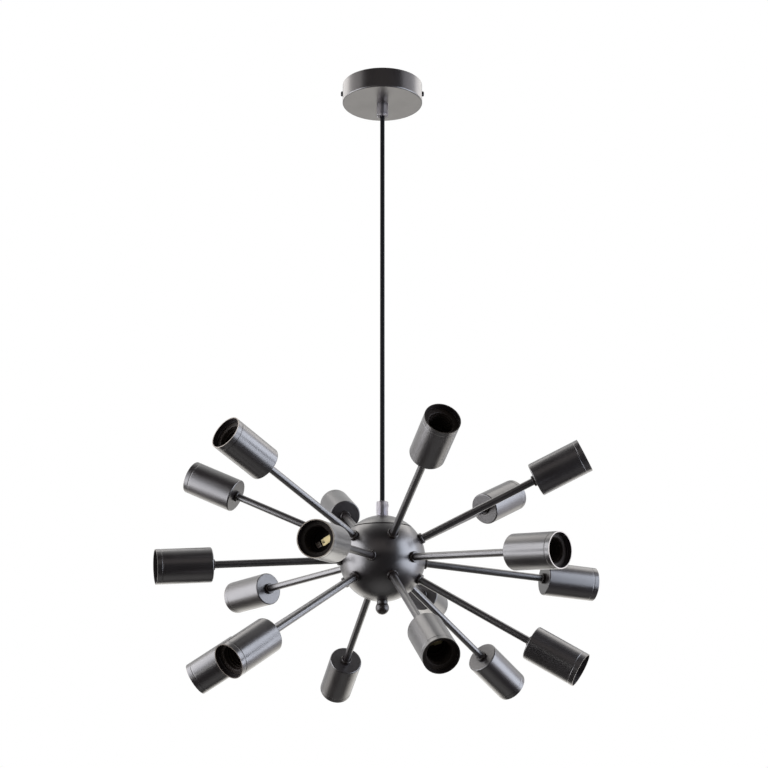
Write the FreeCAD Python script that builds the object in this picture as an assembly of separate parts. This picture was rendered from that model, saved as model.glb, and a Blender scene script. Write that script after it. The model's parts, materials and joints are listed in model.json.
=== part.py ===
import FreeCAD, Part
import math
import os

# Sputnik chandelier: eighteen lamp cups on straight arms round a hollow ball, hung from a round
# ceiling canopy on one straight cable. Millimetres. The origin is the centre of the ceiling face,
# +Z points up, and the lamp hangs towards -Z.

# Ceiling set
CANOPY_D = 100.0
CANOPY_H = 25.0
CANOPY_WALL = 1.2
CANOPY_EDGE_FILLET = 1.5
BRACKET_T = 2.0
BRACKET_W = 20.0
BRACKET_BEND_R = 1.0
TAB_W = 12.0
TAB_BELOW_SCREW = 5.5
SLOT_SPACING = 66.0
SLOT_L = 12.0
SLOT_W = 4.6
SIDE_SCREW_D = 4.0
SIDE_SCREW_DEPTH = 11.0
SIDE_SCREW_REACH = 6.0
SIDE_SCREW_HEAD_D = 6.4
SIDE_SCREW_HEAD_H = 2.2
CROSS_L = 3.6
CROSS_W = 0.8
CROSS_DEPTH = 1.1
TERMINAL_L = 12.0
TERMINAL_W = 20.0
TERMINAL_H = 10.0
TERMINAL_PITCH = 6.5
TERMINAL_HOLE_D = 3.0
TERMINAL_SCREW_HOLE_D = 2.6
TERMINAL_FROM_AXIS = 10.5

# Cable, cut where it bends: in the canopy, the free drop, and in the ball
CABLE_D = 5.5
CABLE_DROP = 490.5
CORE_D = 1.6
CORE_COUNT = 3
CORE_BEND_R = 2.6
CORE_IN_TERMINAL = 2.0
CABLE_TAIL_IN_CANOPY = 13.0
CABLE_TAIL_IN_HUB = 29.0

# Cord grips
GRIP_D = 14.0
GRIP_H = 17.0
GRIP_EDGE_FILLET = 0.8
GRIP_MOUTH_CHAMFER = 0.8
GRIP_STEM_L = 11.0
GRIP_SOCKET_DEPTH = 9.0
GRIP_SCREW_D = 3.0
GRIP_SCREW_PROUD = 0.4
GRIP_SCREW_FROM_MOUTH = 4.5
THREAD_D = 10.0
NUT_AF = 14.0
NUT_T = 3.0

# Ball, its centre rod and the finial under it
HUB_D = 100.0
HUB_WALL = 1.5
HUB_FLAT_CUT = 0.5
CAP_WALL = 3.0
SEAM_LATITUDE = 45.0
SEAM_GAP = 1.4
SPIGOT_H = 4.5
ROD_BORE_D = 7.0
ROD_WINDOW_W = 3.0
ROD_WINDOW_H = 12.0
ROD_IN_GRIP = 8.0
ROD_IN_FINIAL = 7.5
FINIAL_BALL_D = 15.5
FINIAL_BALL_DROP = 7.8
FINIAL_NECK_D = 12.4
CONNECTOR_D = 36.0
CONNECTOR_TOP = 13.0
CONNECTOR_BOTTOM = -15.0
CORE_FROM_AXIS_IN_CONNECTOR = 9.0

# Arms: elevation of each ring and azimuth of its first arm, in degrees
RINGS = ((24.5, -14.75), (-4.5, 15.25), (-30.5, -14.75))
ARMS_PER_RING = 6
ARM_D = 8.4
ARM_WALL = 1.0
ARM_REACH = 199.3
ARM_PAST_NUT = 2.0
LEAD_D = 3.6
COLLAR_D = 12.8
COLLAR_H = 3.5
COLLAR_CHAMFER = 0.5
LOCKNUT_AF = 12.0
LOCKNUT_T = 3.0

# Lamp cups and the lampholders in them
CUP_D = 39.4
CUP_L = 62.7
CUP_WALL = 1.1
CUP_BASE_T = 1.5
CUP_BASE_FILLET = 1.5
CRIMP_FROM_MOUTH = 6.0
CRIMP_HALF_W = 0.8
CRIMP_DEPTH = 0.2
SOCKET_BORE_D = 26.6
SOCKET_BORE_L = 22.0
SOCKET_CHAMFER = 0.8
WELL_D = 22.0
WELL_DEPTH = 5.0
INSERT_FLOOR_T = 3.0
INSERT_SKIRT_T = 2.0
CONTACT_T = 0.6
CONTACT_TURN = -65.0
CENTRE_CONTACT_W = 7.0
CENTRE_CONTACT_HALF_L = 4.2
CENTRE_CONTACT_BELOW_BORE = 1.4
SIDE_CONTACT_W = 6.0
SIDE_CONTACT_BELOW_BORE = 0.6

# Clearances
SEAT_GAP = 0.05
THREAD_GAP = 0.05
HOLE_GAP = 0.15
CABLE_GAP = 0.10
INSERT_GAP = 0.10
BEND_GAP = 0.30
SCREW_TIP_GAP = 0.15
BRACKET_GAP = 0.30
LEAD_GAP = 0.30
CONTACT_WALL_GAP = 0.30
CONTACT_SPACING = 1.10

# Places worked out from the sizes
CANOPY_R = CANOPY_D / 2
CANOPY_INNER_R = CANOPY_R - CANOPY_WALL
CABLE_R = CABLE_D / 2
CORE_R = CORE_D / 2
GRIP_R = GRIP_D / 2
GRIP_BORE_R = CABLE_R + CABLE_GAP
THREAD_R = THREAD_D / 2
HUB_R = HUB_D / 2
ARM_R = ARM_D / 2
CUP_R = CUP_D / 2
CUP_INNER_R = CUP_R - CUP_WALL
UPPER_PIVOT_Z = -CANOPY_H - GRIP_H
LOWER_PIVOT_Z = UPPER_PIVOT_Z - CABLE_DROP
HUB_FLAT_R = HUB_R - HUB_FLAT_CUT
HUB_Z = LOWER_PIVOT_Z - GRIP_H - HUB_FLAT_R
CUP_MOUTH = ARM_REACH + CUP_L
CUP_FLOOR = ARM_REACH + CUP_BASE_T
INSERT_FRONT = CUP_MOUTH - CRIMP_FROM_MOUTH - CRIMP_HALF_W - SEAT_GAP
INSERT_WELL_FLOOR = INSERT_FRONT - SOCKET_BORE_L - WELL_DEPTH
INSERT_REAR_WALL = INSERT_WELL_FLOOR - INSERT_FLOOR_T
NUT_CORNER = 1 / math.cos(math.pi / 6)

UP = FreeCAD.Vector(0, 0, 1)
ORIGIN = FreeCAD.Vector(0, 0, 0)
HUB_CENTRE = FreeCAD.Vector(0, 0, HUB_Z)


def cylinder(radius, bottom, top):
    return Part.makeCylinder(radius, top - bottom, FreeCAD.Vector(0, 0, bottom))


def tube(outer, inner, bottom, top):
    return cylinder(outer, bottom, top).cut(cylinder(inner, bottom, top))


def box(low, high):
    size = [high[axis] - low[axis] for axis in range(3)]
    return Part.makeBox(size[0], size[1], size[2], FreeCAD.Vector(*low))


def hex_nut(across_flats, bore_r, bottom, top):
    corner_r = across_flats / 2 * NUT_CORNER
    corners = [FreeCAD.Vector(corner_r * math.cos(math.radians(60 * i)),
                              corner_r * math.sin(math.radians(60 * i)), bottom) for i in range(7)]
    prism = Part.Face(Part.makePolygon(corners)).extrude(UP * (top - bottom))
    return prism.cut(cylinder(bore_r, bottom, top))


def line(start, end):
    return Part.LineSegment(FreeCAD.Vector(start[0], 0, start[1]),
                            FreeCAD.Vector(end[0], 0, end[1])).toShape()


def arc(start, middle, end):
    points = [FreeCAD.Vector(point[0], 0, point[1]) for point in (start, middle, end)]
    return Part.Arc(*points).toShape()


def turned(edges):
    """A solid of revolution about Z from the edges of a closed outline in the XZ plane."""
    return Part.Face(Part.Wire(edges)).revolve(ORIGIN, UP, 360)


def sphere_arc(radius, start_z, end_z):
    """An arc of the circle of this radius about the origin, between two heights."""
    def on_circle(angle):
        return radius * math.cos(angle), radius * math.sin(angle)
    start, end = math.asin(start_z / radius), math.asin(end_z / radius)
    return arc(on_circle(start), on_circle((start + end) / 2), on_circle(end))


def at_height(radius, z):
    """The point at height z on the circle of this radius about the origin."""
    return math.sqrt(radius ** 2 - z ** 2), z


def at_offset(radius, x):
    """The height at which the circle of this radius is x away from the axis."""
    return math.sqrt(radius ** 2 - x ** 2)


def rounded_tube(points, bend_r, radius):
    """A tube of straight runs and tangent arcs through the points."""
    edges = []
    start = points[0]
    for before, corner, after in zip(points, points[1:], points[2:]):
        into = (corner - before).normalize()
        out = (after - corner).normalize()
        half_turn = into.getAngle(out) / 2
        setback = bend_r * math.tan(half_turn)
        first, last = corner - into * setback, corner + out * setback
        bisector = (out - into).normalize()
        middle = corner + bisector * (bend_r / math.cos(half_turn) - bend_r)
        edges.append(Part.LineSegment(start, first).toShape())
        edges.append(Part.Arc(first, middle, last).toShape())
        start = last
    edges.append(Part.LineSegment(start, points[-1]).toShape())
    path = Part.Wire(edges)
    circle = Part.Wire(Part.makeCircle(radius, points[0], points[1] - points[0]))
    solid = path.makePipeShell([circle], True, False)
    expected = math.pi * radius ** 2 * path.Length
    print("tube: bends of %.1f mm radius, volume over section x length %.4f"
          % (bend_r, solid.Volume / expected))
    return solid


def filleted(shape, radius, wanted):
    edges = [edge for edge in shape.Edges if wanted(edge)]
    return shape.makeFillet(radius, edges)


def circle_edge_at(z, radius):
    """A test for the round edges about the Z axis at this height and radius."""
    def wanted(edge):
        box_ = edge.BoundBox
        return (abs(box_.ZMin - z) < 1e-4 and abs(box_.ZMax - z) < 1e-4
                and abs(box_.XMax - radius) < 1e-4 and abs(box_.YMax - radius) < 1e-4)
    return wanted


def moved(shape, placement):
    copy = shape.copy()
    copy.Placement = placement.multiply(copy.Placement)
    return copy


def arm_placements():
    """Number and placement of each arm. +Z of an arm's own frame runs out of the ball's centre."""
    placements = []
    for elevation, first_azimuth in RINGS:
        for step in range(ARMS_PER_RING):
            azimuth = first_azimuth + step * 360.0 / ARMS_PER_RING
            turn = FreeCAD.Rotation(UP, azimuth)
            lean = FreeCAD.Rotation(FreeCAD.Vector(0, 1, 0), 90 - elevation)
            placements.append(FreeCAD.Placement(HUB_CENTRE, turn.multiply(lean)))
    return placements


def on_every_arm(shapes):
    return Part.makeCompound([moved(shape, place) for place in arm_placements() for shape in shapes])


# Ceiling set ---------------------------------------------------------------------------------

def canopy():
    shell = cylinder(CANOPY_R, -CANOPY_H, 0)
    fillet = min(CANOPY_EDGE_FILLET, 0.45 * CANOPY_H)
    shell = filleted(shell, fillet, circle_edge_at(-CANOPY_H, CANOPY_R))
    shell = shell.cut(cylinder(CANOPY_INNER_R, -CANOPY_H + CANOPY_WALL, 0))
    shell = shell.cut(cylinder(THREAD_R + HOLE_GAP, -CANOPY_H, 0))
    hole_r = SIDE_SCREW_D / 2 + HOLE_GAP
    centre = FreeCAD.Vector(-CANOPY_D, 0, -SIDE_SCREW_DEPTH)
    return shell.cut(Part.makeCylinder(hole_r, 2 * CANOPY_D, centre, FreeCAD.Vector(1, 0, 0)))


def tab_face_x():
    """The outer face of the bracket's bent tabs, clear of the canopy's round wall."""
    return math.sqrt(CANOPY_INNER_R ** 2 - (TAB_W / 2) ** 2) - BRACKET_GAP


def ceiling_bracket():
    half_l = tab_face_x()
    half_w = TAB_W / 2
    plate_half_l = math.sqrt(CANOPY_INNER_R ** 2 - (BRACKET_W / 2) ** 2) - BRACKET_BEND_R - 2 * BRACKET_T
    tab_bottom = -SIDE_SCREW_DEPTH - TAB_BELOW_SCREW
    outside = box((-half_l, -half_w, tab_bottom), (half_l, half_w, 0))
    inside = box((-half_l + BRACKET_T, -half_w, tab_bottom), (half_l - BRACKET_T, half_w, -BRACKET_T))

    def along_y_at(x, z):
        def wanted(edge):
            bounds = edge.BoundBox
            return (abs(abs(bounds.Center.x) - x) < 1e-4 and abs(bounds.Center.z - z) < 1e-4
                    and bounds.YLength > half_w)
        return wanted

    outside = filleted(outside, BRACKET_BEND_R + BRACKET_T, along_y_at(half_l, 0))
    inside = filleted(inside, BRACKET_BEND_R, along_y_at(half_l - BRACKET_T, -BRACKET_T))
    strap = outside.cut(inside)
    plate = box((-plate_half_l, -BRACKET_W / 2, -BRACKET_T), (plate_half_l, BRACKET_W / 2, 0))
    bracket = strap.fuse(plate).removeSplitter()
    for side in (-1, 1):
        straight = SLOT_L / 2 - SLOT_W / 2
        middle_x = side * SLOT_SPACING / 2
        slot = box((middle_x - straight, -SLOT_W / 2, -BRACKET_T), (middle_x + straight, SLOT_W / 2, 0))
        for end in (-straight, straight):
            round_end = cylinder(SLOT_W / 2, -BRACKET_T, 0)
            round_end.translate(FreeCAD.Vector(middle_x + end, 0, 0))
            slot = slot.fuse(round_end)
        bracket = bracket.cut(slot)
    hole = Part.makeCylinder(SIDE_SCREW_D / 2 + THREAD_GAP, 2 * half_l,
                             FreeCAD.Vector(-half_l, 0, -SIDE_SCREW_DEPTH), FreeCAD.Vector(1, 0, 0))
    return bracket.cut(hole)


def side_screws():
    """Two pan-head screws, drawn along Z with the head's seat at zero, then laid along X."""
    seat = CANOPY_R + SEAT_GAP
    shank = cylinder(SIDE_SCREW_D / 2, -SIDE_SCREW_REACH, 0)
    head = cylinder(SIDE_SCREW_HEAD_D / 2, 0, SIDE_SCREW_HEAD_H)
    dome = min(0.6 * SIDE_SCREW_HEAD_H, 0.4 * SIDE_SCREW_HEAD_D)
    head = filleted(head, dome, circle_edge_at(SIDE_SCREW_HEAD_H, SIDE_SCREW_HEAD_D / 2))
    screw = head.fuse(shank)
    for long_x, long_y in ((CROSS_L, CROSS_W), (CROSS_W, CROSS_L)):
        screw = screw.cut(box((-long_x / 2, -long_y / 2, SIDE_SCREW_HEAD_H - CROSS_DEPTH),
                              (long_x / 2, long_y / 2, SIDE_SCREW_HEAD_H)))
    screws = []
    for side in (-1, 1):
        place = FreeCAD.Vector(side * seat, 0, -SIDE_SCREW_DEPTH)
        lay = FreeCAD.Rotation(FreeCAD.Vector(0, 1, 0), side * 90)
        screws.append(moved(screw, FreeCAD.Placement(place, lay)))
    return Part.makeCompound(screws)


def terminal_holes_y():
    return [(index - (CORE_COUNT - 1) / 2) * TERMINAL_PITCH for index in range(CORE_COUNT)]


def terminal_block():
    top = -BRACKET_T
    left = TERMINAL_FROM_AXIS
    middle_z = top - TERMINAL_H / 2
    block = box((left, -TERMINAL_W / 2, top - TERMINAL_H), (left + TERMINAL_L, TERMINAL_W / 2, top))
    for y in terminal_holes_y():
        along = Part.makeCylinder(TERMINAL_HOLE_D / 2, TERMINAL_L, FreeCAD.Vector(left, y, middle_z),
                                  FreeCAD.Vector(1, 0, 0))
        block = block.cut(along)
        for share in (0.25, 0.75):
            screw_hole = cylinder(TERMINAL_SCREW_HOLE_D / 2, top - TERMINAL_H, middle_z)
            screw_hole.translate(FreeCAD.Vector(left + share * TERMINAL_L, y, 0))
            block = block.cut(screw_hole)
    return block


def cable_ceiling_end():
    """The cable inside the upper grip and the canopy, from just past the bend."""
    return cylinder(CABLE_R, UPPER_PIVOT_Z + CABLE_R + BEND_GAP, -CABLE_TAIL_IN_CANOPY)


def core_start_radius():
    """How far from the cable's axis its cores lie, just clear of each other."""
    return (CORE_R + SEAT_GAP) / math.sin(math.pi / CORE_COUNT)


def ceiling_cores():
    """Three cores that turn from the cable's end into the terminal block's holes."""
    level = -BRACKET_T - TERMINAL_H / 2
    start_z = -CABLE_TAIL_IN_CANOPY
    enter_x = TERMINAL_FROM_AXIS - CORE_BEND_R
    end_x = TERMINAL_FROM_AXIS + CORE_IN_TERMINAL
    cores = []
    for index, y in enumerate(terminal_holes_y()):
        offset = (index - (CORE_COUNT - 1) / 2) * (CORE_D + SEAT_GAP)
        points = [FreeCAD.Vector(0, offset, start_z), FreeCAD.Vector(0, offset, level),
                  FreeCAD.Vector(enter_x, y, level), FreeCAD.Vector(end_x, y, level)]
        if abs(y - offset) < 1e-6:
            points.pop(2)
        cores.append(rounded_tube(points, CORE_BEND_R, CORE_R))
    return Part.makeCompound(cores)


# Cord grips and the cable ----------------------------------------------------------------------

def grip_body():
    """A grip with its mouth at zero and its body below, bored for the cable."""
    body = cylinder(GRIP_R, -GRIP_H, 0)
    body = filleted(body, GRIP_EDGE_FILLET, circle_edge_at(0, GRIP_R))
    body = body.cut(cylinder(GRIP_BORE_R, -GRIP_H, 0))
    chamfer = Part.makeCone(GRIP_BORE_R, GRIP_BORE_R + GRIP_MOUTH_CHAMFER, GRIP_MOUTH_CHAMFER,
                            FreeCAD.Vector(0, 0, -GRIP_MOUTH_CHAMFER))
    screw_hole = Part.makeCylinder(GRIP_SCREW_D / 2 + THREAD_GAP, GRIP_D,
                                   FreeCAD.Vector(0, 0, -GRIP_SCREW_FROM_MOUTH), FreeCAD.Vector(1, 0, 0))
    return body.cut(chamfer).cut(screw_hole)


def grip_screw():
    """The screw that clamps the cable, in the same place as the hole in the grip's body."""
    tip = CABLE_R + SCREW_TIP_GAP
    length = GRIP_R + GRIP_SCREW_PROUD - tip
    screw = Part.makeCylinder(GRIP_SCREW_D / 2, length, FreeCAD.Vector(tip, 0, -GRIP_SCREW_FROM_MOUTH),
                              FreeCAD.Vector(1, 0, 0))
    end_x = tip + length
    slot_half = CROSS_W / 2
    return screw.cut(box((end_x - CROSS_W, -GRIP_SCREW_D, -GRIP_SCREW_FROM_MOUTH - slot_half),
                         (end_x, GRIP_SCREW_D, -GRIP_SCREW_FROM_MOUTH + slot_half)))


def upper_placement():
    """The upper grip hangs mouth down, turned over about X."""
    turned_over = FreeCAD.Rotation(FreeCAD.Vector(1, 0, 0), 180)
    return FreeCAD.Placement(FreeCAD.Vector(0, 0, UPPER_PIVOT_Z), turned_over)


def lower_placement():
    return FreeCAD.Placement(FreeCAD.Vector(0, 0, LOWER_PIVOT_Z), FreeCAD.Rotation())


def upper_cord_grip():
    stem = tube(THREAD_R, GRIP_BORE_R, -GRIP_H - GRIP_STEM_L, -GRIP_H)
    return moved(grip_body().fuse(stem).removeSplitter(), upper_placement())


def lower_cord_grip():
    socket = cylinder(THREAD_R + THREAD_GAP, -GRIP_H, -GRIP_H + GRIP_SOCKET_DEPTH)
    return moved(grip_body().cut(socket), lower_placement())


def upper_grip_nut():
    bottom = -CANOPY_H + CANOPY_WALL
    return hex_nut(NUT_AF, THREAD_R + THREAD_GAP, bottom, bottom + NUT_T)


def cable_drop():
    """The free cable. Each end is a dome centred on the point where the cable bends."""
    drop = cylinder(CABLE_R, LOWER_PIVOT_Z, UPPER_PIVOT_Z)
    for z in (LOWER_PIVOT_Z, UPPER_PIVOT_Z):
        drop = drop.fuse(Part.makeSphere(CABLE_R, FreeCAD.Vector(0, 0, z)))
    print("cable: one straight free run of %.1f mm" % CABLE_DROP)
    return drop.removeSplitter()


def cable_hub_end():
    """The cable inside the lower grip and the rod, ending at the rod's windows."""
    return cylinder(CABLE_R, HUB_Z + CABLE_TAIL_IN_HUB, LOWER_PIVOT_Z - CABLE_R - BEND_GAP)


# Ball, about its own centre --------------------------------------------------------------------

def seam_z():
    return HUB_R * math.sin(math.radians(SEAM_LATITUDE))


def hub_bowl():
    inner_r = HUB_R - HUB_WALL
    hole_r = THREAD_R + HOLE_GAP
    top = seam_z() - SEAM_GAP / 2
    bottom_outer = at_height(HUB_R, -HUB_FLAT_R)
    bottom_inner_z = -at_offset(inner_r, hole_r)
    bowl = turned([
        line((hole_r, -HUB_FLAT_R), bottom_outer),
        sphere_arc(HUB_R, -HUB_FLAT_R, top),
        line(at_height(HUB_R, top), at_height(inner_r, top)),
        sphere_arc(inner_r, top, bottom_inner_z),
        line((hole_r, bottom_inner_z), (hole_r, -HUB_FLAT_R))])
    drill = cylinder(ARM_R + HOLE_GAP, HUB_R / 2, HUB_D)
    for place in arm_placements():
        here = FreeCAD.Placement(ORIGIN, place.Rotation)
        bowl = bowl.cut(moved(drill, here))
    return moved(bowl, FreeCAD.Placement(HUB_CENTRE, FreeCAD.Rotation()))


def hub_cap():
    """The dome over the seam, with a spigot that drops inside the bowl's rim."""
    inner_r = HUB_R - CAP_WALL
    spigot_r = HUB_R - HUB_WALL - HOLE_GAP
    hole_r = THREAD_R + HOLE_GAP
    rim = seam_z() + SEAM_GAP / 2
    spigot_bottom = seam_z() - SPIGOT_H
    top_inner_z = at_offset(inner_r, hole_r)
    cap = turned([
        line(at_height(inner_r, spigot_bottom), at_height(spigot_r, spigot_bottom)),
        sphere_arc(spigot_r, spigot_bottom, rim),
        line(at_height(spigot_r, rim), at_height(HUB_R, rim)),
        sphere_arc(HUB_R, rim, HUB_FLAT_R),
        line(at_height(HUB_R, HUB_FLAT_R), (hole_r, HUB_FLAT_R)),
        line((hole_r, HUB_FLAT_R), (hole_r, top_inner_z)),
        sphere_arc(inner_r, top_inner_z, spigot_bottom)])
    return moved(cap, FreeCAD.Placement(HUB_CENTRE, FreeCAD.Rotation()))


def centre_rod():
    """The hollow rod that clamps cap and bowl, with a window for each core."""
    rod = tube(THREAD_R, ROD_BORE_D / 2, -HUB_FLAT_R - ROD_IN_FINIAL, HUB_FLAT_R + ROD_IN_GRIP)
    bottom = CONNECTOR_TOP + CORE_BEND_R
    window = box((0, -ROD_WINDOW_W / 2, bottom), (THREAD_D, ROD_WINDOW_W / 2, bottom + ROD_WINDOW_H))
    for index in range(CORE_COUNT):
        turn = FreeCAD.Rotation(UP, index * 360.0 / CORE_COUNT)
        rod = rod.cut(moved(window, FreeCAD.Placement(ORIGIN, turn)))
    return moved(rod, FreeCAD.Placement(HUB_CENTRE, FreeCAD.Rotation()))


def hub_nuts():
    """The nut under the cap and the nut over the bowl's bottom, each seated on its corners."""
    corner_r = NUT_AF / 2 * NUT_CORNER
    top_seat = at_offset(HUB_R - CAP_WALL, corner_r) - SEAT_GAP
    bottom_seat = -at_offset(HUB_R - HUB_WALL, corner_r) + SEAT_GAP
    bore_r = THREAD_R + THREAD_GAP
    nuts = Part.makeCompound([hex_nut(NUT_AF, bore_r, top_seat - NUT_T, top_seat),
                              hex_nut(NUT_AF, bore_r, bottom_seat, bottom_seat + NUT_T)])
    return moved(nuts, FreeCAD.Placement(HUB_CENTRE, FreeCAD.Rotation()))


def finial():
    seat = -HUB_FLAT_R
    ball_z = seat - FINIAL_BALL_DROP
    neck = cylinder(FINIAL_NECK_D / 2, ball_z, seat)
    room = box((-HUB_D, -HUB_D, -2 * HUB_D), (HUB_D, HUB_D, seat))
    ball = Part.makeSphere(FINIAL_BALL_D / 2, FreeCAD.Vector(0, 0, ball_z)).common(room)
    knob = ball.fuse(neck).removeSplitter()
    knob = knob.cut(cylinder(THREAD_R + THREAD_GAP, seat - ROD_IN_FINIAL - SEAT_GAP, seat))
    return moved(knob, FreeCAD.Placement(HUB_CENTRE, FreeCAD.Rotation()))


def hub_connector():
    """The block on the rod where the cable's cores meet the leads of the lamps."""
    block = tube(CONNECTOR_D / 2, THREAD_R + THREAD_GAP, CONNECTOR_BOTTOM, CONNECTOR_TOP)
    return moved(block, FreeCAD.Placement(HUB_CENTRE, FreeCAD.Rotation()))


def lead_start():
    """How far from the ball's centre a lead ends, just clear of the connector's round side."""
    steepest = max(abs(elevation) for elevation, azimuth in RINGS)
    return (CONNECTOR_D / 2 + LEAD_GAP) / math.cos(math.radians(steepest)) + LEAD_D / 2 * math.tan(
        math.radians(steepest))


def hub_leads():
    """A twin lead in each arm, and the three cores from the cable's end to the connector."""
    lead = cylinder(LEAD_D / 2, lead_start(), INSERT_REAR_WALL - SEAT_GAP)
    leads = [moved(lead, place) for place in arm_placements()]
    start_z = CABLE_TAIL_IN_HUB - BEND_GAP
    turn_z = start_z - CORE_BEND_R
    near, far = core_start_radius(), CORE_FROM_AXIS_IN_CONNECTOR
    outward_z = CONNECTOR_TOP + 2 * CORE_BEND_R
    points = [FreeCAD.Vector(near, 0, start_z), FreeCAD.Vector(near, 0, turn_z),
              FreeCAD.Vector(far, 0, outward_z), FreeCAD.Vector(far, 0, CONNECTOR_TOP)]
    core = rounded_tube(points, CORE_BEND_R, CORE_R)
    for index in range(CORE_COUNT):
        turn = FreeCAD.Rotation(UP, index * 360.0 / CORE_COUNT)
        leads.append(moved(core, FreeCAD.Placement(HUB_CENTRE, turn)))
    return Part.makeCompound(leads)


# Arms, each drawn along +Z out of the ball's centre --------------------------------------------

def hub_nut_seat():
    """Where a locknut's corners touch the inside of the bowl."""
    return at_offset(HUB_R - HUB_WALL, LOCKNUT_AF / 2 * NUT_CORNER) - SEAT_GAP


def arm_tube():
    start = hub_nut_seat() - LOCKNUT_T - ARM_PAST_NUT
    end = CUP_FLOOR + SEAT_GAP + LOCKNUT_T + ARM_PAST_NUT
    return tube(ARM_R, ARM_R - ARM_WALL, start, end)


def collar(bottom):
    """A round ring nut with its edges broken."""
    ring = tube(COLLAR_D / 2, ARM_R + THREAD_GAP, bottom, bottom + COLLAR_H)

    def is_outer(edge):
        return any(circle_edge_at(z, COLLAR_D / 2)(edge) for z in (bottom, bottom + COLLAR_H))

    return ring.makeChamfer(COLLAR_CHAMFER, [edge for edge in ring.Edges if is_outer(edge)])


def arm_collars():
    at_ball = collar(at_offset(HUB_R, ARM_R + HOLE_GAP) + SEAT_GAP)
    at_cup = collar(ARM_REACH - SEAT_GAP - COLLAR_H)
    return on_every_arm([at_ball, at_cup])


def arm_locknuts():
    bore_r = ARM_R + THREAD_GAP
    in_ball = hex_nut(LOCKNUT_AF, bore_r, hub_nut_seat() - LOCKNUT_T, hub_nut_seat())
    seat = CUP_FLOOR + SEAT_GAP
    in_cup = hex_nut(LOCKNUT_AF, bore_r, seat, seat + LOCKNUT_T)
    return on_every_arm([in_ball, in_cup])


def lamp_cup():
    """A drawn cup with a rounded base edge and a crimped ring that holds the lampholder."""
    hole_r = ARM_R + HOLE_GAP
    crimp = CUP_MOUTH - CRIMP_FROM_MOUTH
    below, above = crimp - CRIMP_HALF_W, crimp + CRIMP_HALF_W
    fillet = min(CUP_BASE_FILLET, 0.9 * (CUP_BASE_T + CUP_WALL))
    bulge = fillet * (1 - math.sqrt(0.5))
    return turned([
        line((hole_r, ARM_REACH), (CUP_R - fillet, ARM_REACH)),
        arc((CUP_R - fillet, ARM_REACH), (CUP_R - bulge, ARM_REACH + bulge), (CUP_R, ARM_REACH + fillet)),
        line((CUP_R, ARM_REACH + fillet), (CUP_R, below)),
        arc((CUP_R, below), (CUP_R - CRIMP_DEPTH, crimp), (CUP_R, above)),
        line((CUP_R, above), (CUP_R, CUP_MOUTH)),
        line((CUP_R, CUP_MOUTH), (CUP_INNER_R, CUP_MOUTH)),
        line((CUP_INNER_R, CUP_MOUTH), (CUP_INNER_R, above)),
        arc((CUP_INNER_R, above), (CUP_INNER_R - CRIMP_DEPTH, crimp), (CUP_INNER_R, below)),
        line((CUP_INNER_R, below), (CUP_INNER_R, CUP_FLOOR)),
        line((CUP_INNER_R, CUP_FLOOR), (hole_r, CUP_FLOOR)),
        line((hole_r, CUP_FLOOR), (hole_r, ARM_REACH))])


def lampholder_insert():
    """The moulded lampholder: screw bore, contact well, floor and a skirt down to the cup's base."""
    outer_r = CUP_INNER_R - INSERT_GAP
    bore_r = SOCKET_BORE_D / 2
    bore_floor = INSERT_FRONT - SOCKET_BORE_L
    body = cylinder(outer_r, CUP_FLOOR + SEAT_GAP, INSERT_FRONT)
    body = body.cut(cylinder(bore_r, bore_floor, INSERT_FRONT))
    body = body.cut(cylinder(WELL_D / 2, INSERT_WELL_FLOOR, bore_floor))
    body = body.cut(cylinder(outer_r - INSERT_SKIRT_T, CUP_FLOOR, INSERT_REAR_WALL))
    lead_in = Part.makeCone(bore_r, bore_r + SOCKET_CHAMFER, SOCKET_CHAMFER,
                            FreeCAD.Vector(0, 0, INSERT_FRONT - SOCKET_CHAMFER))
    return body.cut(lead_in)


def strip(low_x, high_x, width, low_z, high_z):
    return box((low_x, -width / 2, low_z), (high_x, width / 2, high_z))


def contact_end(width):
    """How far from the arm's line a contact this wide reaches, clear of the well's wall."""
    return at_offset(WELL_D / 2 - CONTACT_WALL_GAP, width / 2)


def centre_contact():
    """A spring strip folded back over the middle of the well."""
    floor = INSERT_WELL_FLOOR
    end = CENTRE_CONTACT_HALF_L
    width = CENTRE_CONTACT_W
    top = floor + WELL_DEPTH - CENTRE_CONTACT_BELOW_BORE
    foot = strip(-contact_end(width), end, width, floor, floor + CONTACT_T)
    riser = strip(end - CONTACT_T, end, width, floor, top)
    tongue = strip(-end, end, width, top - CONTACT_T, top)
    return foot.fuse([riser, tongue]).removeSplitter()


def side_contact():
    """A bent tab that meets the side of the lamp's screw cap."""
    floor = INSERT_WELL_FLOOR
    near = CENTRE_CONTACT_HALF_L + CONTACT_SPACING
    far = contact_end(SIDE_CONTACT_W)
    top = floor + WELL_DEPTH - SIDE_CONTACT_BELOW_BORE
    foot = strip(near, far, SIDE_CONTACT_W, floor, floor + CONTACT_T)
    tab = strip(far - CONTACT_T, far, SIDE_CONTACT_W, floor, top)
    return foot.fuse(tab).removeSplitter()


def lampholder_contacts():
    """Both contacts of one lampholder, turned together about the arm."""
    turn = FreeCAD.Placement(ORIGIN, FreeCAD.Rotation(UP, CONTACT_TURN))
    return [moved(centre_contact(), turn), moved(side_contact(), turn)]


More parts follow.
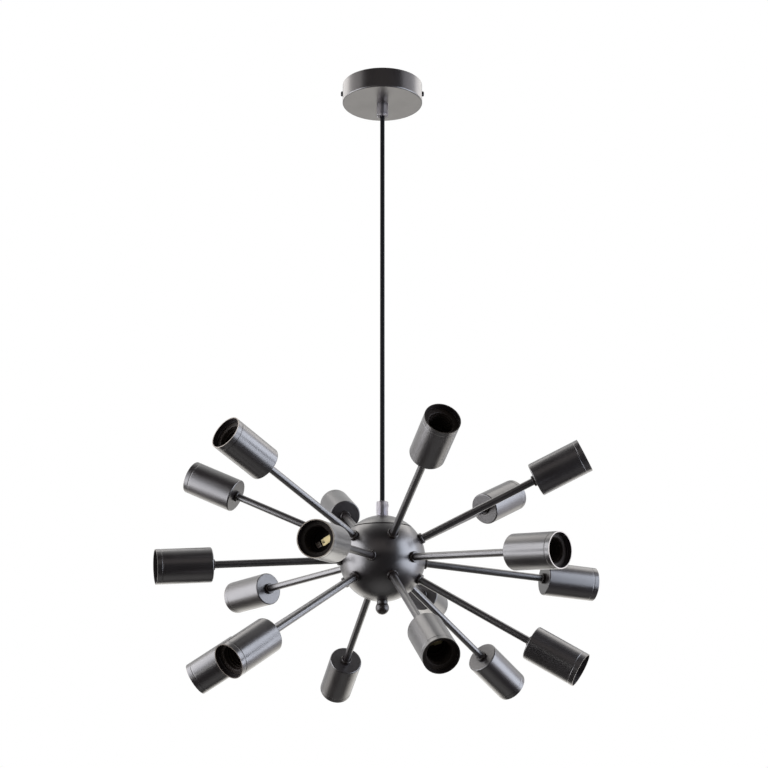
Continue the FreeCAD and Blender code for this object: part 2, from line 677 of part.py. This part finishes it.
def main():
    nodes = {
        "ceiling_bracket": ceiling_bracket(),
        "canopy": canopy(),
        "side_screws": side_screws(),
        "upper_cord_grip": upper_cord_grip(),
        "upper_grip_nut": upper_grip_nut(),
        "upper_grip_screw": moved(grip_screw(), upper_placement()),
        "terminal_block": terminal_block(),
        "cable_ceiling_end": cable_ceiling_end(),
        "ceiling_cores": ceiling_cores(),
        "cable_drop": cable_drop(),
        "cable_hub_end": cable_hub_end(),
        "lower_cord_grip": lower_cord_grip(),
        "lower_grip_screw": moved(grip_screw(), lower_placement()),
        "hub_cap": hub_cap(),
        "hub_bowl": hub_bowl(),
        "centre_rod": centre_rod(),
        "hub_nuts": hub_nuts(),
        "finial": finial(),
        "hub_connector": hub_connector(),
        "hub_leads": hub_leads(),
        "arm_collars": arm_collars(),
        "arm_locknuts": arm_locknuts(),
        "lampholder_inserts": on_every_arm([lampholder_insert()]),
        "lamp_contacts": on_every_arm(lampholder_contacts()),
    }
    for number, place in enumerate(arm_placements(), start=1):
        nodes["arm_tube_%02d" % number] = moved(arm_tube(), place)
        nodes["lamp_cup_%02d" % number] = moved(lamp_cup(), place)
    os.makedirs("parts", exist_ok=True)
    for name, shape in nodes.items():
        shape.exportStep("parts/%s.step" % name)


main()
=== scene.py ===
import json
import math

import bmesh
import bpy
from mathutils import Matrix, Vector


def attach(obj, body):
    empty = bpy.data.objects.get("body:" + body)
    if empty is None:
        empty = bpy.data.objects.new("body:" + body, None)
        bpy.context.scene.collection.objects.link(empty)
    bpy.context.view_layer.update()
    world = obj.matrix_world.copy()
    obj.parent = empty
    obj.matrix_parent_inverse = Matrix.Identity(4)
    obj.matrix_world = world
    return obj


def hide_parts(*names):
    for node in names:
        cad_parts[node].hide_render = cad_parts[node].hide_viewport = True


# Sputnik chandelier: its looks. Metres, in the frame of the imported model. The origin is the centre
# of the ceiling face, +Z points up, and the camera stands towards -Y.

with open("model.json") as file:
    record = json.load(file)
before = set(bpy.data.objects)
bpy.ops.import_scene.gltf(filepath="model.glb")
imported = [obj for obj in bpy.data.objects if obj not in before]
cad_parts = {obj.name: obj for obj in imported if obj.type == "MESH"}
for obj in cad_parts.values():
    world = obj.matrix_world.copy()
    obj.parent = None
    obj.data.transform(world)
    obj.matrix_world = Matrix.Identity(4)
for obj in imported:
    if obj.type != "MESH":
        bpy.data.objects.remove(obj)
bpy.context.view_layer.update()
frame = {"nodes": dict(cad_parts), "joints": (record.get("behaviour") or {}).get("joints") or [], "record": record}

MM = 0.001

# Places read from the frame
PIVOTS = {joint["name"]: Vector(joint["pos_m"]) for joint in frame["joints"]}
SOCKETS = [row for row in frame["record"]["mounts"] if row["name"].startswith("lamp_socket_")]
SOCKETS.sort(key=lambda row: row["name"])


def centre_of_ball(socket):
    """The point where this arm's line meets the cable's line."""
    place = Vector(socket["pos_m"])
    axis = Vector(socket["axis"])
    return place - axis * (place.xy.length / axis.xy.length)


HUB = centre_of_ball(SOCKETS[0])

# Sizes of the source that the pieces here follow. Mouth and floors lie this far out along an arm,
# from the ball's centre.
CABLE_D = 5.5 * MM
MOUTH_FROM_HUB = 262.0 * MM
BORE_FLOOR = 233.15 * MM
BORE_R = 13.3 * MM
WELL_FLOOR = 228.15 * MM
CONTACT_TURN = -65.0
CONTACT_SHEET = 0.6 * MM

# The visible cable reaches this far into each cord grip
GRIP_REACH = 0.8 * MM

# Straight from the ball's centre, a cup's edge lies 0.66 mm or more past MOUTH_FROM_HUB. Paint gives
# way to bare metal between these, just short of it.
BARE_FROM = 0.48 * MM
BARE_TO = 0.56 * MM

# Screw thread inside a lampholder for a 27 mm screw cap. The ridge's section is in millimetres:
# (outward, along the bore).
THREAD_PITCH = 3.62 * MM
THREAD_TURNS = 4.6
THREAD_STEPS = 48
THREAD_ABOVE_FLOOR = 2.6 * MM
THREAD_SECTION = ((0.25, -1.4), (-0.35, -0.75), (-0.65, 0.0), (-0.35, 0.75), (0.25, 1.4))
RUN_OUT_STEPS = 10

# Contacts in a lampholder, in millimetres. Corners are (distance from the arm's line, height over the
# well's floor), a rivet is its distance from the arm's line, and its head is rings of (radius, height).
CENTRE_CORNERS = ((3.6, 0.0), (-9.4, 0.0), (-9.9, 2.4), (-7.9, 3.0), (-0.4, 2.3))
CENTRE_WIDTH = 7.0
CENTRE_RIVET = 1.8
SIDE_CORNERS = ((5.2, 0.35), (9.3, 0.0), (9.7, 3.3), (8.9, 3.9))
SIDE_WIDTH = 6.0
SIDE_RIVET = 6.9
RIVET_HEAD = ((1.25, 0.0), (1.2, 0.3), (0.85, 0.55), (0.4, 0.66))
RIVET_SIDES = 16
BEND_SETBACK = 0.7 * MM
BEND_STEPS = 4
BROKEN_EDGE = 0.12 * MM

# Camera, fitted to the photograph
CAMERA_FROM_HUB = Vector((2.0, -1790.6, -286.2)) * MM
CAMERA_PITCH = 15.47
LENS = 72.99
SENSOR = 36.0

# Studio. The floor fades out from its first radius to its edge. Reflections see the room white where
# the direction's product with DARK_SIDE is WHITE_AT or less, and dark where it is DARK_AT or more.
FLOOR_Z = -3.2
FLOOR_FADE_FROM = 0.4
FLOOR_RADIUS = 2.2
DIFFUSE_LEVEL = 0.3
WHITE_LEVEL = 1.0
DARK_LEVEL = 0.04
DARK_SIDE = Vector((0.0, -0.85, -0.53))
WHITE_AT = -0.9
DARK_AT = -0.1

# Soft boxes: name, place, width and height, brightness as seen, tint, and the point they face
LAMPS = (
    ("right soft box", (0.87, -0.23, -0.45), (1.0, 1.1), 5.0, "#e9f0ff", (0, 0, -0.45)),
    ("left soft box", (-0.89, -0.16, -0.45), (1.0, 1.1), 5.0, "#f3f3fa", (0, 0, -0.45)),
    ("left key", (-0.82, -1.27, -0.66), (0.34, 0.34), 4.2, "#fffdfa", (0, 0, -0.6)),
    ("right wall light", (1.7, 0.15, -0.1), (2.4, 3.2), 1.2, "#fbf8ff", (0, 0, -0.1)),
    ("left wall light", (-1.7, 0.15, -0.1), (2.4, 3.2), 1.2, "#fffaf8", (0, 0, -0.1)),
    ("right upper box", (0.65, 0.56, 0.6), (0.8, 0.8), 2.0, "#fffaf6", (0, 0, -0.6)),
    ("left upper box", (-0.65, 0.56, 0.6), (0.8, 0.8), 2.0, "#fffaf6", (0, 0, -0.6)),
    ("front fill", (0, -1.9, 0.3), (3.0, 1.1), 0.3, "#fff4f0", (0, 0, -0.6)),
    ("backdrop light", (0, 2.2, -1.7), (5.0, 1.6), 1.45, "#fffaf2", (0, 0, -0.3)),
)


def linear(hex_code):
    """An sRGB hex value as linear red, green and blue, and full alpha."""
    parts = [int(hex_code[i:i + 2], 16) / 255 for i in (1, 3, 5)]
    return (*[c / 12.92 if c <= 0.04045 else ((c + 0.055) / 1.055) ** 2.4 for c in parts], 1.0)


def add(tree, kind, inputs=None, **settings):
    """Adds a node with its settings; inputs maps a socket to a value or to the output that feeds it."""
    made = tree.nodes.new(kind)
    for name, value in settings.items():
        setattr(made, name, value)
    for socket, value in (inputs or {}).items():
        if isinstance(value, bpy.types.NodeSocket):
            tree.links.new(value, made.inputs[socket])
        else:
            made.inputs[socket].default_value = value
    return made


def start_material(name):
    """A new material and its empty node tree."""
    material = bpy.data.materials.new(name)
    material.use_nodes = True
    material.node_tree.nodes.clear()
    return material, material.node_tree


# Finishes. A noise keeps mostly between these two values.
NOISE_LOW = 0.3
NOISE_HIGH = 0.7
GLOSS_SPREAD = 0.05


def satin_powder_coat(name, bare_mouth):
    """Baked satin black powder coat on drawn steel. Nearly black from the front, with broad soft grey
    sheens where the surface turns from the eye, and a faint orange peel that unsettles them.
    Cups also show the bare cut steel of their mouths."""
    material, tree = start_material(name)
    place = add(tree, "ShaderNodeTexCoord").outputs["Object"]
    # orange peel is about 0.8 mm wide; drawn at 1.6 mm, so that it shows
    peel = add(tree, "ShaderNodeTexNoise", {"Vector": place, "Scale": 1 / (1.6 * MM), "Detail": 2.0})
    film = add(tree, "ShaderNodeTexNoise", {"Vector": place, "Scale": 1 / (30 * MM), "Detail": 3.0})
    paint = add(tree, "ShaderNodeMix", {0: film.outputs["Fac"], 6: linear("#100c0d"),
                                        7: linear("#151011")}, data_type="RGBA").outputs[2]
    gloss = add(tree, "ShaderNodeMapRange", {"Value": film.outputs["Fac"], "From Min": NOISE_LOW,
                                             "From Max": NOISE_HIGH, "To Min": 0.28,
                                             "To Max": 0.34}).outputs["Result"]
    normal = add(tree, "ShaderNodeBump", {"Height": peel.outputs["Fac"],
                                          "Distance": 0.005 * MM}).outputs["Normal"]
    shader = add(tree, "ShaderNodeBsdfPrincipled", {"IOR": 1.9, "Normal": normal})
    if bare_mouth:
        reach = add(tree, "ShaderNodeVectorMath", {0: place, 1: tuple(HUB)}, operation="DISTANCE")
        bare = add(tree, "ShaderNodeMapRange", {"Value": reach.outputs["Value"],
                                                "From Min": MOUTH_FROM_HUB + BARE_FROM,
                                                "From Max": MOUTH_FROM_HUB + BARE_TO}).outputs["Result"]
        paint = add(tree, "ShaderNodeMix", {0: bare, 6: paint, 7: linear("#6e6964")},
                    data_type="RGBA").outputs[2]
        gloss = add(tree, "ShaderNodeMix", {0: bare, 2: gloss, 3: 0.3}, data_type="FLOAT").outputs[0]
        tree.links.new(bare, shader.inputs["Metallic"])
    tree.links.new(paint, shader.inputs["Base Color"])
    tree.links.new(gloss, shader.inputs["Roughness"])
    add(tree, "ShaderNodeOutputMaterial", {"Surface": shader.outputs["BSDF"]})
    return material


def hard_finish(name, tones, roughness, grain, depth, **constants):
    """A hard finish of two near tones that drift into each other, with a fine grain in its gloss
    and its surface. Constants are set on the shader by socket name."""
    material, tree = start_material(name)
    place = add(tree, "ShaderNodeTexCoord").outputs["Object"]
    drift = add(tree, "ShaderNodeTexNoise", {"Vector": place, "Scale": 1 / (9 * MM), "Detail": 3.0})
    fine = add(tree, "ShaderNodeTexNoise", {"Vector": place, "Scale": 1 / grain, "Detail": 2.0})
    base = add(tree, "ShaderNodeMix", {0: drift.outputs["Fac"], 6: linear(tones[0]), 7: linear(tones[1])},
               data_type="RGBA").outputs[2]
    gloss = add(tree, "ShaderNodeMapRange", {"Value": fine.outputs["Fac"], "From Min": NOISE_LOW,
                                             "From Max": NOISE_HIGH, "To Min": roughness - GLOSS_SPREAD,
                                             "To Max": roughness + GLOSS_SPREAD}).outputs["Result"]
    normal = add(tree, "ShaderNodeBump", {"Height": fine.outputs["Fac"], "Distance": depth}).outputs["Normal"]
    shader = add(tree, "ShaderNodeBsdfPrincipled", {"Base Color": base, "Roughness": gloss,
                                                    "Normal": normal})
    for socket, value in constants.items():
        shader.inputs[socket.replace("_", " ")].default_value = value
    add(tree, "ShaderNodeOutputMaterial", {"Surface": shader.outputs["BSDF"]})
    return material


FINISHES = {
    "black_paint": satin_powder_coat("satin black powder coat on steel", False),
    "cup_paint": satin_powder_coat("satin black powder coat with a bare cut edge", True),
    # brownish black with small, soft and rather dark reflections
    "black_gloss": hard_finish("semi-gloss black plated steel", ("#14100f", "#1b1513"), 0.3, 1.5 * MM,
                               0.002 * MM),
    # dark grey metal with a dull sheen
    "black_screws": hard_finish("black zinc plated steel", ("#2b2b2d", "#1f1f21"), 0.34, 0.6 * MM,
                                0.006 * MM, Metallic=1.0),
    # bright bluish grey metal, slightly clouded
    "zinc_steel": hard_finish("bright zinc plated steel", ("#bcc0c4", "#a3a8ad"), 0.3, 0.7 * MM,
                              0.008 * MM, Metallic=1.0),
    # clear but milky, so that what is inside shows as a soft dark core
    "clear_plastic": hard_finish("moulded clear polycarbonate", ("#bab6ba", "#afabaf"), 0.42, 4.0 * MM,
                                 0.001 * MM, IOR=1.4, Transmission_Weight=0.95,
                                 Specular_IOR_Level=0.3),
    # milky white with a soft moulded skin
    "white_nylon": hard_finish("moulded white nylon", ("#e5e3dc", "#dad7ce"), 0.45, 0.8 * MM,
                               0.01 * MM, IOR=1.53),
    # flexible black skin with a low sheen
    "black_cable": hard_finish("extruded black PVC sheath", ("#08090b", "#0d0e11"), 0.7, 1.0 * MM,
                               0.004 * MM, IOR=1.48, Specular_IOR_Level=0.1),
    # thin smooth coloured skin
    "core_insulation": hard_finish("extruded PVC core insulation", ("#a08b6c", "#8f7b5e"), 0.38, 0.7 * MM,
                                   0.006 * MM, IOR=1.53),
    # matt brown-black with a dry grain
    "black_moulding": hard_finish("moulded black phenolic", ("#18130f", "#1f1814"), 0.6, 0.9 * MM,
                                  0.004 * MM, IOR=1.5, Specular_IOR_Level=0.2),
    # yellow metal, rolled and stamped
    "brass_contact": hard_finish("stamped spring brass", ("#fdf1c6", "#f0dda2"), 0.42, 0.6 * MM,
                                 0.004 * MM, Metallic=1.0),
    # greyish white metal, softer than the brass beside it
    "tinned_contact": hard_finish("tinned spring steel", ("#dcd4ce", "#c4bcb5"), 0.46, 0.6 * MM,
                                  0.004 * MM, Metallic=1.0),
}

for name, part in frame["nodes"].items():
    for slot in part.material_slots:
        slot.material = FINISHES["cup_paint" if name.startswith("lamp_cup_") else slot.name]


# Pieces


def hang_cable():
    """The round cable, straight between the mouths of the two cord grips."""
    top = PIVOTS["cable_swing"] + Vector((0, 0, GRIP_REACH))
    foot = PIVOTS["head_tilt"] - Vector((0, 0, GRIP_REACH))
    curve = bpy.data.curves.new("cable", "CURVE")
    curve.dimensions = "3D"
    curve.bevel_depth = CABLE_D / 2
    curve.bevel_resolution = 8
    curve.use_fill_caps = True
    curve.materials.append(FINISHES["black_cable"])
    line = curve.splines.new("NURBS")
    line.points.add(4)
    for i, point in enumerate(line.points):
        point.co = (*top.lerp(foot, i / 4), 1.0)
    line.order_u = 3
    line.use_endpoint_u = True
    cable = bpy.data.objects.new("cable_sheath", curve)
    bpy.context.scene.collection.objects.link(cable)
    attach(cable, "cable")
    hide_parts("cable_drop")


def thread_ridge():
    """One rounded ridge that winds down the wall of a lampholder's bore, along local +Z."""
    start = BORE_FLOOR + THREAD_ABOVE_FLOOR
    mesh = bpy.data.meshes.new("thread_ridge")
    shape = bmesh.new()
    rows = []
    count = int(THREAD_TURNS * THREAD_STEPS)
    for i in range(count + 1):
        angle = 2 * math.pi * i / THREAD_STEPS
        fade = min(1.0, i / RUN_OUT_STEPS, (count - i) / RUN_OUT_STEPS)
        row = []
        for out, along in THREAD_SECTION:
            radius = BORE_R + (out * fade if out < 0 else out) * MM
            height = start + THREAD_PITCH * i / THREAD_STEPS + along * fade * MM
            row.append(shape.verts.new((radius * math.cos(angle), radius * math.sin(angle), height)))
        rows.append(row)
    for row, after in zip(rows, rows[1:]):
        for j in range(len(THREAD_SECTION) - 1):
            face = shape.faces.new((row[j], after[j], after[j + 1], row[j + 1]))
            face.smooth = True
    shape.to_mesh(mesh)
    shape.free()
    mesh.materials.append(FINISHES["black_moulding"])
    return mesh


def arm_frame(socket):
    """The frame of an arm: origin at the ball's centre, local +Z out along the arm."""
    axis = Vector(socket["axis"])
    azimuth = math.atan2(axis.y, axis.x)
    elevation = math.asin(axis.z / axis.length)
    turn = Matrix.Rotation(azimuth, 4, "Z") @ Matrix.Rotation(math.pi / 2 - elevation, 4, "Y")
    return Matrix.Translation(HUB) @ turn


def put_in_lampholder(name, mesh, socket):
    """One piece in the lampholder at this socket; it is named after the piece and the socket."""
    piece = bpy.data.objects.new(name + "_" + socket["name"][-2:], mesh)
    piece.matrix_world = arm_frame(socket)
    bpy.context.scene.collection.objects.link(piece)
    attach(piece, "lamp_head")
    return piece


def thread_sockets():
    """The ridge of the screw thread in each lampholder."""
    ridge = thread_ridge()
    for socket in SOCKETS:
        put_in_lampholder("socket_thread", ridge, socket)


def add_strip(shape, corners, width, turn):
    """Sheet metal strip along corners of (distance from the arm's line, height), with rounded bends
    and broken edges."""
    line = [Vector(corners[0])]
    for before, corner, after in zip(corners, corners[1:], corners[2:]):
        corner = Vector(corner)
        start = corner + (Vector(before) - corner).normalized() * BEND_SETBACK
        end = corner + (Vector(after) - corner).normalized() * BEND_SETBACK
        for step in range(BEND_STEPS + 1):
            t = step / BEND_STEPS
            line.append(start.lerp(corner, t).lerp(corner.lerp(end, t), t))
    line.append(Vector(corners[-1]))
    edge = BROKEN_EDGE
    half = CONTACT_SHEET / 2
    side = width / 2
    section = ((-side, -half + edge), (-side, half - edge), (-side + edge, half), (side - edge, half),
               (side, half - edge), (side, -half + edge), (side - edge, -half), (-side + edge, -half))
    rows = []
    for i, point in enumerate(line):
        along = (line[min(i + 1, len(line) - 1)] - line[max(i - 1, 0)]).normalized()
        out = Vector((-along.y, along.x))
        rows.append([shape.verts.new(turn @ Vector((point.x + out.x * h, y, point.y + out.y * h)))
                     for y, h in section])
    for row, after in zip(rows, rows[1:]):
        for j in range(len(section)):
            following = (j + 1) % len(section)
            shape.faces.new((row[j], row[following], after[following], after[j]))
    shape.faces.new(list(reversed(rows[0])))
    shape.faces.new(rows[-1])


def add_rivet(shape, centre, turn):
    """A low domed rivet head."""
    rows = []
    for radius, height in RIVET_HEAD:
        row = []
        for k in range(RIVET_SIDES):
            angle = 2 * math.pi * k / RIVET_SIDES
            row.append(shape.verts.new(turn @ Vector((centre[0] + radius * MM * math.cos(angle),
                                                      radius * MM * math.sin(angle),
                                                      centre[1] + height * MM))))
        rows.append(row)
    for row, after in zip(rows, rows[1:]):
        for k in range(RIVET_SIDES):
            following = (k + 1) % RIVET_SIDES
            shape.faces.new((row[k], row[following], after[following], after[k]))
    shape.faces.new(rows[-1])


def contact_mesh(name, corners, width, rivet, finish):
    """One contact of a lampholder: corners and rivet in millimetres from the well's floor."""
    turn = Matrix.Rotation(math.radians(CONTACT_TURN), 3, "Z")
    seat = WELL_FLOOR + CONTACT_SHEET / 2
    shape = bmesh.new()
    add_strip(shape, [(x * MM, seat + z * MM) for x, z in corners], width * MM, turn)
    add_rivet(shape, (rivet * MM, seat + CONTACT_SHEET / 2), turn)
    bmesh.ops.recalc_face_normals(shape, faces=shape.faces)
    mesh = bpy.data.meshes.new(name)
    shape.to_mesh(mesh)
    shape.free()
    mesh.materials.append(FINISHES[finish])
    return mesh


def fit_contacts():
    """In each lampholder a sprung centre contact, humped so that it gives, and a side tab."""
    centre = contact_mesh("centre_contact", CENTRE_CORNERS, CENTRE_WIDTH, CENTRE_RIVET, "brass_contact")
    tab = contact_mesh("side_contact", SIDE_CORNERS, SIDE_WIDTH, SIDE_RIVET, "tinned_contact")
    for socket in SOCKETS:
        for mesh in (centre, tab):
            piece = put_in_lampholder(mesh.name, mesh, socket)
            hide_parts("lamp_contacts")


hang_cable()
thread_sockets()
fit_contacts()


# Camera and studio


def set_camera():
    """The camera that took the photograph."""
    data = bpy.data.cameras.new("camera")
    data.lens = LENS
    data.sensor_width = SENSOR
    camera = bpy.data.objects.new("camera", data)
    bpy.context.scene.collection.objects.link(camera)
    camera.location = HUB + CAMERA_FROM_HUB
    camera.rotation_euler = (math.radians(90 + CAMERA_PITCH), 0, 0)
    bpy.context.scene.camera = camera


def lay_floor():
    """A round pale floor that keeps the shadow and fades out into the white of the room."""
    mesh = bpy.data.meshes.new("floor")
    shape = bmesh.new()
    bmesh.ops.create_circle(shape, cap_ends=True, segments=96, radius=FLOOR_RADIUS,
                            matrix=Matrix.Translation((0, 0, FLOOR_Z)))
    shape.to_mesh(mesh)
    shape.free()
    material, tree = start_material("matt pale paper")
    place = add(tree, "ShaderNodeTexCoord").outputs["Object"]
    away = add(tree, "ShaderNodeVectorMath", {0: place, 1: (0, 0, FLOOR_Z)}, operation="DISTANCE")
    outer = add(tree, "ShaderNodeMapRange", {"Value": away.outputs["Value"], "From Min": FLOOR_FADE_FROM,
                                             "From Max": FLOOR_RADIUS}, interpolation_type="SMOOTHSTEP")
    paper = add(tree, "ShaderNodeBsdfPrincipled", {"Base Color": linear("#cfcfcd"), "Roughness": 0.9})
    gone = add(tree, "ShaderNodeBsdfTransparent")
    both = add(tree, "ShaderNodeMixShader", {0: outer.outputs["Result"], 1: paper.outputs["BSDF"],
                                             2: gone.outputs["BSDF"]})
    add(tree, "ShaderNodeOutputMaterial", {"Surface": both.outputs["Shader"]})
    mesh.materials.append(material)
    floor = bpy.data.objects.new("floor", mesh)
    bpy.context.scene.collection.objects.link(floor)


def set_world():
    """A white room. What shines sees it white behind and above, and dark in front and below."""
    world = bpy.data.worlds.new("studio")
    bpy.context.scene.world = world
    world.use_nodes = True
    tree = world.node_tree
    tree.nodes.clear()
    ray = add(tree, "ShaderNodeLightPath").outputs
    way = add(tree, "ShaderNodeTexCoord").outputs["Generated"]
    front = add(tree, "ShaderNodeVectorMath", {0: way, 1: DARK_SIDE}, operation="DOT_PRODUCT")
    room = add(tree, "ShaderNodeMapRange", {"Value": front.outputs["Value"], "From Min": WHITE_AT,
                                            "From Max": DARK_AT, "To Min": WHITE_LEVEL,
                                            "To Max": DARK_LEVEL},
               interpolation_type="SMOOTHSTEP").outputs["Result"]
    shining = add(tree, "ShaderNodeMath", {0: ray["Is Glossy Ray"], 1: ray["Is Transmission Ray"]},
                  operation="MAXIMUM").outputs["Value"]
    level = add(tree, "ShaderNodeMix", {0: shining, 2: DIFFUSE_LEVEL, 3: room}, data_type="FLOAT").outputs[0]
    level = add(tree, "ShaderNodeMix", {0: ray["Is Camera Ray"], 2: level, 3: WHITE_LEVEL},
                data_type="FLOAT").outputs[0]
    sky = add(tree, "ShaderNodeBackground", {"Color": linear("#ffffff"), "Strength": level})
    add(tree, "ShaderNodeOutputWorld", {"Surface": sky.outputs["Background"]})


def set_lamp(name, place, size, radiance, tint, target):
    """One row of LAMPS, as an area light that the camera doesn't see."""
    data = bpy.data.lights.new(name, "AREA")
    data.shape = "RECTANGLE"
    data.size = size[0]
    data.size_y = size[1]
    data.energy = radiance * math.pi * size[0] * size[1]
    data.color = linear(tint)[:3]
    lamp = bpy.data.objects.new(name, data)
    bpy.context.scene.collection.objects.link(lamp)
    lamp.location = place
    lamp.rotation_euler = (Vector(target) - Vector(place)).to_track_quat("-Z", "Y").to_euler()
    lamp.visible_camera = False


bpy.context.scene.view_settings.view_transform = "Standard"
set_camera()
lay_floor()
set_world()
for lamp_row in LAMPS:
    set_lamp(*lamp_row)
